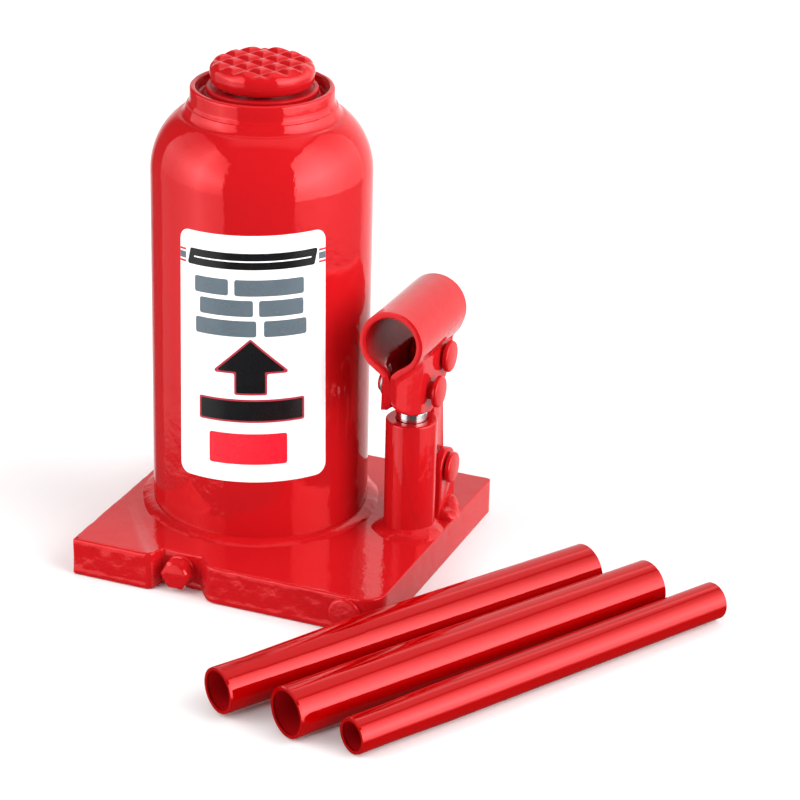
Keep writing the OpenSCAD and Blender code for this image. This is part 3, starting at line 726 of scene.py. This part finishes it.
def make_linkage():
    y, z = BASE_PIN
    for name, x0 in (("lug_left", PUMP_X - 8.3), ("lug_right", PUMP_X + 5.2)):
        outline = [(y - 7.9, BASE_T - 0.5), (y + 7.9, BASE_T - 0.5), (y + 7.5, z)]
        outline += [(y + 7.5 * math.cos(math.radians(a)), z + 7.5 * math.sin(math.radians(a)))
                    for a in range(10, 180, 10)]
        outline += [(y - 7.5, z)]
        plate(name + "_plate", outline, [((y, z), 3.45)], x0, x0 + 3.1, "jack_frame", 0.55, [name])
    # the link bar's outline: an eye round each pin, and straight edges a waist apart
    span = Vector(REAR_PIN) - Vector(BASE_PIN)
    waist = Vector((span.y, -span.x)).normalized() * 5.3
    low, high = span.normalized() * 3.4, span.normalized() * 4.2
    lean = math.atan2(span.y, span.x)
    outline = []
    for centre, r, first in ((BASE_PIN, 6.0, lean + math.pi / 2), (REAR_PIN, 6.5, lean - math.pi / 2)):
        for k in range(13):
            a = first + math.pi * k / 12
            outline.append((centre[0] + r * math.cos(a), centre[1] + r * math.sin(a)))
        if centre == BASE_PIN:
            outline += [tuple(Vector(BASE_PIN) + waist + low), tuple(Vector(REAR_PIN) + waist - high)]
        else:
            outline += [tuple(Vector(REAR_PIN) - waist - high), tuple(Vector(BASE_PIN) - waist + low)]
    plate("link_plate", outline, [(BASE_PIN, 3.56), (REAR_PIN, 4.35)], PUMP_X - 4.7, PUMP_X + 4.7, "link",
          0.8, ["link_bar"])


def pin(name, node, place, body):
    """Forged pin: domed head on the right, chamfered tail on the left."""
    lo, hi = box(node)
    length = hi[0] - lo[0]
    shank, head, thick = 3.45, 6.0, 2.2
    under = length - thick
    profile = rounded([(0, 0, 0), (shank, 0, 0.7), (shank, under, 0.2), (head, under, 0.45),
                       (head, length - 0.25, 0.75), (0, length, 0)], step=10)

    def forged(a, r, z):
        return r + (0.06 * wobble(r * math.cos(a), r * math.sin(a), z, 3.0, 1.0) if r > 4 else 0), z

    at = along((1, 0, 0), (lo[0], place[0], place[1]))
    turned(name, profile, PAINT, body, [node], at, 72, shape=forged)


def clip(name, node, place, body):
    """Snap ring: an open washer seated in the pin's groove."""
    x0, x1 = middle(node, 0) - 0.45, middle(node, 0) + 0.45
    verts = []
    steps = 44
    for k in range(steps + 1):
        a = math.radians(-60 + 300 * k / steps)
        inner = 2.9 + 0.5 * (0.5 + 0.5 * math.cos(math.radians(300.0 * k / steps * 3)))
        outer = 5.0 if 2 < k < steps - 2 else 4.5
        for r, x in ((inner, x0), (outer - 0.2, x0), (outer, x0 + 0.2),
                     (outer, x1 - 0.2), (outer - 0.2, x1), (inner, x1)):
            verts.append((x, place[0] + r * math.cos(a), place[1] + r * math.sin(a)))
    faces = quads(steps + 1, 6)
    faces.append(tuple(range(6)))
    faces.append(tuple(reversed(range(steps * 6, steps * 6 + 6))))
    mesh_object(name, verts, faces, [STEEL], body, [node], smooth=35)


# ---- handle socket
def make_socket():
    """Rolled sheet: a tube whose lower edges meet in front, then spread into two ears."""
    front = (-24.8, 98.2)
    tilt, yaw = math.radians(3.7), math.radians(2.6)
    wall, mid, length = 2.3, 11.05, 51.0
    axis = (math.cos(tilt), -math.sin(tilt))
    down = (-math.sin(tilt), -math.cos(tilt))
    # lower outline of the ears as (y, z)
    lower = [(-25.4, 84.8), (-24.5, 80.0), (-24.2, 76.0), (-23.9, 73.6), (-23.2, 72.2), (-21.6, 70.7),
             (-19.5, 69.3), (-17.0, 68.2), (-13.0, 67.0), (-8.7, 66.0), (-4.5, 64.6),
             (FRONT_PIN[0], FRONT_PIN[1] - 8.7), (1.6, 64.8), (5.0, 67.7), (10.2, 70.4),
             (15.4, 74.6), (17.9, 77.6), (18.8, 80.6), (19.3, 83.0), (20.4, 85.2), (22.8, 86.1),
             (27.5, 85.9)]
    s_of = [(y - front[0]) * axis[0] + (z - front[1]) * axis[1] for y, z in lower]
    d_of = [(y - front[0]) * down[0] + (z - front[1]) * down[1] for y, z in lower]
    # half the gap between the lower edges, at distances s along the tube
    spread_s = [-1.0, 2.6, 4.0, 6.0, 8.5, 12.0, 15.0, 17.5, 52.0]
    spread_x = [1.16, 1.17, 2.2, 3.8, 4.8, 5.7, 6.2, 6.25, 6.25]
    rows, cols = 90, 46
    verts = []
    for i in range(rows + 1):
        s = length * i / rows
        leg_x = float(np.interp(s, spread_s, spread_x))
        depth = float(np.interp(s, s_of, d_of))
        end = math.radians(float(np.interp(leg_x, [1.2, 6.2], [126, 140])))
        p0 = Vector((mid * math.sin(end), mid * math.cos(end)))
        t0 = Vector((math.cos(end), -math.sin(end)))
        knee = Vector((leg_x, float(np.interp(leg_x, [1.2, 6.2], [-15.2, -11.2]))))
        reach = (knee - p0).length * 0.4
        pts = [Vector((mid * math.sin(end * k / 30), mid * math.cos(end * k / 30))) for k in range(31)]
        c1, c2 = p0 + t0 * reach, knee + Vector((0, reach))
        for k in range(1, 15):
            w = k / 14
            near, far = p0 * (1 - w) ** 3 + c1 * 3 * w * (1 - w) ** 2, c2 * 3 * w * w * (1 - w)
            pts.append(near + far + knee * w ** 3)
        pts.append(Vector((leg_x, -40.0)))
        cut = []
        for a, b in zip(pts, pts[1:]):
            cut.append(a)
            if -b.y >= depth and a.y > b.y:
                cut.append(a.lerp(b, (depth + a.y) / (a.y - b.y)) if depth + a.y > 0 else a)
                break
        run = [0.0]
        for a, b in zip(cut, cut[1:]):
            run.append(run[-1] + (b - a).length)
        want = np.linspace(0, run[-1], cols + 1)
        xs = np.interp(want, run, [p.x for p in cut])
        zs = np.interp(want, run, [p.y for p in cut])
        half = list(zip(xs, zs))
        row = [(-x, z) for x, z in reversed(half[1:])] + half
        for x, z in row:
            turned_part = min(1.0, max(0.0, (float(z) + 13.5) / 10.0))
            turned_part *= turned_part * (3 - 2 * turned_part)
            y_w = front[0] + axis[0] * s - down[0] * z
            z_w = front[1] + axis[1] * s - down[1] * z
            verts.append((PUMP_X + float(x) - math.tan(yaw) * s * turned_part, y_w, float(z_w)))
    faces = quads(rows + 1, 2 * cols + 1, col_loop=False, flip=True)
    obj = link_object("socket_sheet", new_mesh("socket_sheet", verts, faces, [PAINT, PAINT_DARKENED_AS_SHADE]))
    thick = obj.modifiers.new("thick", "SOLIDIFY")
    thick.thickness = wall * MM
    thick.offset = 0.0
    thick.use_even_offset = True
    soften(obj, 0.45, 3, 60)
    apply_modifiers(obj)
    bm = bmesh.new()
    bm.from_mesh(obj.data)
    bmesh.ops.recalc_face_normals(bm, faces=bm.faces)
    for face in bm.faces:
        c = face.calc_center_median() / MM
        s = (c.y - front[0]) * axis[0] + (c.z - front[1]) * axis[1]
        d = (c.y - front[0]) * down[0] + (c.z - front[1]) * down[1]
        if math.hypot(c.x - PUMP_X + math.tan(yaw) * s, d) < 10.2 and 0.8 < s < length - 0.8:
            face.material_index = 1
    bm.to_mesh(obj.data)
    bm.free()
    finish_mesh(obj, 45)
    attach(obj, "pump_lever")
    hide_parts("handle_socket")


# ---- valve, plugs
def make_front_fittings():
    lo, hi = box("release_valve")
    face_y = lo[1]
    head_l, seg = 4.8, 72
    flats, corners = 5.2, 5.88
    verts = []
    # (radius, distance from the face, 1 if round or 0 if the hexagon trims it)
    rows = [(0.0, 0.0, 1), (3.9, 0.0, 1), (4.75, 0.12, 1), (6.0, 0.75, 0), (6.0, head_l - 0.5, 0),
            (5.6, head_l, 0), (0.0, head_l, 0)]
    for r, y, disc in rows:
        for j in range(seg):
            a = 2 * math.pi * j / seg
            sector = (a % (math.pi / 3)) - math.pi / 6
            rr = r if disc else min(r, flats / math.cos(sector), corners)
            verts.append((VALVE_X + rr * math.cos(a), face_y + y, VALVE_Z + rr * math.sin(a)))
    mesh_object("release_valve_head", verts, quads(len(rows), seg), [PAINT], "release_valve",
                smooth=28)
    sunk = 3.0
    end = hi[1] - face_y - sunk
    stem = rounded([(0, 0, 0), (4.0, 0, 0.2), (4.0, 15.4, 0.2), (4.8, 15.6, 0.3), (4.8, 24.4, 0.3),
                    (2.5, 24.6, 0.2), (2.4, end, 0.5), (0, end, 0)])
    turned("release_valve_stem", stem, STEEL, "release_valve", ["release_valve"],
           along((0, 1, 0), (VALVE_X, face_y + sunk, VALVE_Z)), 64)
    nut = rounded([(4.1, -1.2, 0.2), (5.0, -1.2, 0.3), (6.0, -0.9, 0.5), (6.1, 0.3, 0), (5.5, 0.3, 0),
                   (5.5, 5.0, 0), (4.1, 5.0, 0)])
    turned("valve_collar", nut, PAINT, "jack_frame", ["valve_nut"],
           along((0, 1, 0), (VALVE_X, NOTCH_Y, VALVE_Z)), 96)
    disc = rounded([(0, -1.6, 0), (5.7, -1.6, 0.6), (6.3, -1.0, 0.5), (6.3, 0.6, 0), (4.3, 0.6, 0),
                    (4.3, 8, 0.3), (0, 8, 0)])
    turned("front_plug_disc", disc, PAINT_WELD, "jack_frame", ["front_plug"],
           along((0, 1, 0), (PLUG_X, base_lo[1], PLUG_Z)), 96,
           shape=lambda a, r, z: (r + 0.1 * wobble(r * math.cos(a), r * math.sin(a), z, 3.0, 5.0), z))
    lo, hi = box("filler_plug")
    tail, knob = lo[1] - TANK_R, hi[1] - TANK_R
    plug = rounded([(0, knob, 0), (3.4, knob, 0.6), (4.4, knob - 0.5, 0.4), (4.7, knob - 1.2, 0.4),
                    (6.3, knob - 1.4, 0.5), (7.0, knob - 2.2, 0.6), (6.8, 0.05, 0.4),
                    (0.5 * (hi[0] - lo[0]) - 2.3, 0.0, 0), (4.4, -1.5, 0.5), (4.8, -2.6, 0.4),
                    (4.2, tail, 0.5), (0, tail, 0)])
    turned("filler_plug_moulded", plug, RUBBER, "filler_plug", ["filler_plug"],
           along((0, 1, 0), (0, TANK_R, middle("filler_plug", 2))), 72)


# ---- label
def wrap(shapes, radius, centre, foot, half, height):
    """Flat (u, v) outlines laid on the tank, each (outline, lift, thickness, material index).
    The film was laid by hand: its right side sits a little high and its top is a little narrow."""
    strip, off = 1.25, 0.013    # the flat outlines are cut into strips, so that they can bend
    bm = bmesh.new()
    for outline, lift, thick, index in shapes:
        part = bmesh.new()
        part.faces.new([part.verts.new((u, v, 0)) for u, v in outline])
        for k in range(-24, 25):
            bmesh.ops.bisect_plane(part, geom=part.verts[:] + part.edges[:] + part.faces[:],
                                   plane_co=(k * strip + off, 0, 0), plane_no=(1, 0, 0))
        if thick:
            made = bmesh.ops.extrude_face_region(part, geom=part.faces[:])
            for v in [g for g in made["geom"] if isinstance(g, bmesh.types.BMVert)]:
                v.co.z = thick
        index_of = {}
        for v in part.verts:
            across, rise = v.co.x / half, v.co.y / height
            a = math.radians(centre) + (v.co.x - rise * (0.5 + across)) / radius
            z = foot + v.co.y + (1 - rise) * (0.85 * across - 0.65) + rise * (1.4 + across)
            r = radius + lift + v.co.z
            index_of[v] = bm.verts.new((r * math.cos(a) * MM, r * math.sin(a) * MM, z * MM))
        for f in part.faces:
            new = bm.faces.new([index_of[v] for v in f.verts])
            new.material_index = index
        part.free()
    bmesh.ops.recalc_face_normals(bm, faces=bm.faces)
    mesh = bpy.data.meshes.new("label_film")
    bm.to_mesh(mesh)
    bm.free()
    return mesh


def bar(u0, u1, v0, v1, r, slant=0.0):
    """Filled block, leaning right by slant at its top."""
    return rounded([(u0, v0, r), (u1, v0, r), (u1 + slant, v1, r), (u0 + slant, v1, r)], 20)


def make_label():
    """Plain generic label: a slanted band, blocks in three rows, an arrow over a foot, and a red block."""
    lo, hi = box("label")
    centre, corner, ink = -70.6, 4.2, 0.2
    w, h = math.radians(40.8) * TANK_R - 0.05, hi[2] - lo[2]
    sheet = rounded([(-w, 0, corner), (w, 0, corner), (w, h, corner), (-w, h, corner)], 9)
    shapes = [(sheet, 0.05, 0.14, 0)]
    top = h - 6.2

    def put(points, index, lift=ink):
        shapes.append((points, lift, 0.012, index))

    for side in (-1, 1):
        a, b = sorted((side * (w - 0.05), side * (w - 2.9)))
        put(bar(a, b, top - 1.9, top - 1.1, 0.05), 3)
        put(bar(a, b, top - 6.4, top - 5.6, 0.05), 3)
        put(bar(a, b, top - 5.0, top - 2.5, 0.05), 2)
    put(bar(-25.6, 24.6, top - 6.6, top - 0.4, 0.8, 1.4), 1)
    put(bar(-22.6, 23.2, top - 3.75, top - 3.25, 0.1, 0.1), 0, ink + 0.02)
    for v, blocks in ((h - 22.8, ((-22.2, -8.4), (-6.0, 20.2))), (h - 30.6, ((-20.0, 1.0), (3.2, 20.0))),
                      (h - 38.4, ((-21.8, 2.2), (5.0, 21.2)))):
        for a, b in blocks:
            put(bar(a, b, v, v + 6.2, 0.9), 2)
    arrow = [(-5.4, 35.2), (5.4, 35.2), (5.4, 43.5), (13.2, 43.5), (0.0, 55.4), (-13.2, 43.5), (-5.4, 43.5)]
    foot_bar = [(-19.5, 24.4), (19.5, 24.4), (19.5, 32.0), (-19.5, 32.0)]
    for points in (arrow, foot_bar):
        put(rounded([(x, y, 0.8) for x, y in grow(points, 0.75)], 20), 4)
        put(rounded([(x, y, 0.5) for x, y in points], 20), 1, ink + 0.02)
    put(bar(-16.0, 13.6, 7.0, 19.2, 1.0), 3)
    mesh = wrap(shapes, TANK_R, centre, lo[2], w, h)
    for mat in (FILM, INK_BLACK, INK_GREY, INK_RED, INK_EDGE):
        mesh.materials.append(mat)
    obj = link_object("label_film", mesh)
    finish_mesh(obj, 30)
    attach(obj, "jack_frame")
    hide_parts("label")


def grow(points, d):
    """Outline moved outwards by d, for a counter-clockwise outline."""
    out = []
    count = len(points)
    for i in range(count):
        p, a, b = Vector(points[i]), Vector(points[i - 1]), Vector(points[(i + 1) % count])
        e0, e1 = (p - a).normalized(), (b - p).normalized()
        n0, n1 = Vector((e0.y, -e0.x)), Vector((e1.y, -e1.x))
        out.append(tuple(p + (n0 + n1) * (d / max(0.2, 1 + n0.dot(n1)))))
    return out


# ---- handle tubes
def make_tube(name, node, start, heading, length, r, end_r, taper_l):
    """Handle tube lying on the floor from start, necked to end_r over its first part."""
    wall, end_l = 1.05, 14
    full = end_l + taper_l
    bore, end_bore = r - wall, end_r - wall
    outer = [(end_r - 0.15, 0.0, 0), (end_r, 0.7, 0.5), (end_r, end_l, 20.0), (r, full, 30.0),
             (r, length, 0.5)]
    inner = [(bore, length, 0.4), (bore, full, 30.0), (end_bore, end_l, 20.0), (end_bore, 1.2, 0.6),
             (end_bore - 0.35, 0.25, 0.3), (end_bore - 0.2, 0, 0.15)]
    profile = rounded(outer + inner, step=4)
    profile = [p for k, p in enumerate(profile) if math.dist(p, profile[k - 1]) > 0.02]
    a = math.radians(heading)
    matrix = along((math.cos(a), math.sin(a), 0), (start[0], start[1], r))
    verts, faces = lathe(profile, matrix, 120)
    obj = mesh_object(name, verts, faces, [PAINT_TUBE_DARKENED_AS_SHADE, PAINT_DARKENED_AS_SHADE], node, [node], 35)
    inv = matrix.inverted()
    for poly in obj.data.polygons:
        c = inv @ (poly.center / MM)
        limit = float(np.interp(c.z, [0, end_l, full], [end_r, end_r, r])) - 0.7
        if math.hypot(c.x, c.y) < limit and 0.9 < c.z < length - 0.6:
            poly.material_index = 1


# ---- build everything
make_base()
make_welds()
make_tank()
make_top()
make_screw()
make_saddle()
make_pump()
make_plunger()
make_linkage()
pins = (("base_pin", BASE_PIN, "jack_frame"), ("front_pin", FRONT_PIN, "pump_lever"),
        ("rear_pin", REAR_PIN, "pump_lever"))
for pin_name, pin_place, pin_body in pins:
    pin(pin_name + "_forged", pin_name, pin_place, pin_body)
for pin_name, pin_place, pin_body in pins:
    clip(pin_name + "_ring", pin_name + "_clip", pin_place, pin_body)
make_socket()
make_front_fittings()
make_label()
make_tube("lower_tube", "handle_lower", (47.1, -138.2), 58.5, 164, 9.85, 8.5, 44)
make_tube("middle_tube", "handle_middle", (74.5, -141.93), 59.5, 164.3, 9.6, 9.3, 30)
make_tube("upper_tube", "handle_upper", (99.0, -142.9), 60.3, 167.9, 7.0, 6.6, 24)

# the CAD nodes that stay get their slots' materials
plain = {"rubber": RUBBER, "steel": STEEL, "polished_steel": POLISHED, "bronze": BRONZE, "red_paint": PAINT,
         "label_film": FILM}
for node_name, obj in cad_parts.items():
    for slot in obj.material_slots:
        key = (slot.material.name if slot.material else "steel").split(".")[0]
        # the ram's wiper is red overspray, in the darkened paint as painted shade in the trough
        slot.material = PAINT_DARKENED_AS_SHADE if node_name == "ram_wiper" else plain.get(key, STEEL)


# ---- floor, light and camera
def make_floor():
    drop = 0.2 * MM    # so that the base's underside doesn't lie in the floor's plane
    bpy.ops.mesh.primitive_circle_add(vertices=128, radius=8.0, fill_type="NGON", location=(0, 0, -drop))
    floor = bpy.context.object
    floor.name = "floor"
    mat, n, bsdf, coords = material("floor_pale")
    pale, paler = (0.88, 0.88, 0.885, 1), (0.9, 0.9, 0.9, 1)
    n.link(n.mix(n.noise(coords, 3.0), pale, paler), bsdf.inputs["Base Color"])
    bsdf.inputs["Roughness"].default_value = 0.75
    bsdf.inputs["Specular IOR Level"].default_value = 0.1
    floor.data.materials.append(mat)
    floor.visible_glossy = False


def make_light():
    """A studio round the object: a bright softbox right, a dimmer one left, one overhead, and a
    pale wall behind."""
    world = bpy.data.worlds.new("studio")
    scene.world = world
    world.use_nodes = True
    n = Nodes(world.node_tree)
    coords = n.add("ShaderNodeTexCoord").outputs["Generated"]
    side = n.dot(coords, (math.cos(AZ), math.sin(AZ), 0))
    near = n.dot(coords, (math.sin(AZ), -math.cos(AZ), 0))
    up = n.dot(coords, (0, 0, 1))

    def panel(across, facing, spans, levels_p, levels_q, strength, foot=None, shelf=None):
        """Light panel on a plane that faces the object; spans are (lo, hi, softness) on it.
        Below foot it is dark, and below shelf (height, share) it is dimmed to that share."""
        safe = n.math("MAXIMUM", facing, 0.02)
        rise = side if facing == up else up
        p, q = n.math("DIVIDE", across, safe), n.math("DIVIDE", rise, safe)
        mask = n.remap(facing, 0.02, 0.06)
        for value, (lo, hi, soft) in zip((p, q), spans):
            mask = n.math("MULTIPLY", mask, n.remap(value, lo - soft, lo + soft, smooth=True))
            mask = n.math("MULTIPLY", mask, n.remap(value, hi - soft, hi + soft, 1.0, 0.0, smooth=True))
        if foot is not None:
            mask = n.math("MULTIPLY", mask, n.remap(up, foot - 0.012, foot + 0.012, smooth=True))
        if shelf is not None:
            dim = n.remap(up, shelf[0] - 0.015, shelf[0] + 0.015, shelf[1], 1.0, smooth=True)
            mask = n.math("MULTIPLY", mask, dim)
        level = n.math("MULTIPLY", n.ramp(p, levels_p), n.ramp(q, levels_q))
        return n.math("MULTIPLY", n.math("MULTIPLY", mask, level), strength)

    left_side = n.math("MULTIPLY", side, -1.0)
    behind = n.math("MULTIPLY", near, -1.0)
    right = panel(near, side, ((-0.84, 1.32, 0.012), (-1.2, 1.42, 0.03)),
                  ((-0.84, 0.2), (-0.45, 0.27), (-0.2, 0.37), (0, 0.55), (0.4, 0.97), (0.8, 1.0),
                   (1.32, 0.88)),
                  ((-1.2, 0.45), (-0.3, 0.5), (-0.1, 0.62), (0.05, 0.8), (0.25, 1.0), (0.6, 0.78),
                   (0.83, 0.63), (1.42, 0.42)), 8.4, foot=-0.372, shelf=(-0.26, 0.32))
    left = panel(near, left_side, ((-0.66, 1.36, 0.012), (-1.2, 1.32, 0.03)),
                 ((-0.66, 0.18), (-0.2, 0.25), (0, 0.38), (0.21, 0.6), (0.445, 1.0), (0.73, 0.75),
                  (1.36, 0.5)),
                 ((-1.2, 0.45), (-0.3, 0.45), (-0.06, 0.55), (0.1, 0.8), (0.25, 1.0), (0.42, 0.82),
                  (0.6, 0.62), (1.32, 0.33)), 7.0, foot=-0.42, shelf=(-0.14, 0.7))
    top = panel(near, up, ((-1.1, 0.24, 0.12), (-0.4, 0.62, 0.12)),
                ((-1.1, 1.0), (0.24, 0.7)), ((-0.4, 0.7), (0.62, 1.0)), 1.3)
    back = panel(side, behind, ((-0.5, 1.25, 0.15), (-0.75, 1.2, 0.2)),
                 ((-0.5, 0.5), (0.1, 1.0), (0.6, 0.9), (1.25, 0.6)),
                 ((-0.75, 0.7), (0.0, 1.0), (1.2, 0.6)), 1.6)
    total = n.math("ADD", n.math("ADD", right, left), n.math("ADD", top, back))
    total = n.math("ADD", total, n.remap(up, -0.4, 0.2, 0.12, 0.06))
    background = n.add("ShaderNodeBackground")
    n.link(total, background.inputs["Strength"])
    out = n.add("ShaderNodeOutputWorld")
    n.link(background.outputs[0], out.inputs["Surface"])


def direction(azimuth, elevation):
    """From the object outwards."""
    flat = math.cos(elevation)
    return Vector((math.sin(azimuth) * flat, -math.cos(azimuth) * flat, math.sin(elevation)))


def make_fill(name, turn, size, energy):
    """Large soft light; it lights the paint but stays out of its gloss. turn is from the camera's side."""
    rise, away = 0.75, 3.0
    data = bpy.data.lights.new(name, "AREA")
    data.shape = "DISK"
    data.size = size
    data.energy = energy
    lamp = bpy.data.objects.new(name, data)
    scene.collection.objects.link(lamp)
    aim = Vector((0.05, -0.05, 0.08))
    way = direction(AZ + turn, rise)
    facing = way.to_track_quat("Z", "Y").to_matrix().to_4x4()
    lamp.matrix_world = Matrix.Translation(aim + way * away) @ facing
    lamp.visible_camera = False
    lamp.visible_glossy = False


def make_camera():
    data = bpy.data.cameras.new("camera")
    data.sensor_width = 36.0
    data.lens = LENS
    data.clip_start, data.clip_end = 0.02, 60.0
    camera = bpy.data.objects.new("camera", data)
    scene.collection.objects.link(camera)
    back = direction(AZ, EL)
    right = Vector((math.cos(AZ), math.sin(AZ), 0))
    up = back.cross(right)
    x = math.cos(ROLL) * right + math.sin(ROLL) * up
    y = -math.sin(ROLL) * right + math.cos(ROLL) * up
    turn = Matrix((x, y, back)).transposed().to_4x4()
    camera.matrix_world = Matrix.Translation(Vector(CAMERA_AT)) @ turn
    scene.camera = camera


make_floor()
make_light()
make_fill("fill_front", 0.1, 3.0, 20.0)
make_fill("fill_left", -1.25, 2.4, 34.0)
make_fill("fill_right", 1.25, 2.4, 30.0)
make_camera()
scene.view_settings.view_transform = "Standard"
scene.view_settings.look = "None"
scene.view_settings.exposure = 0.0
scene.view_settings.gamma = 1.0
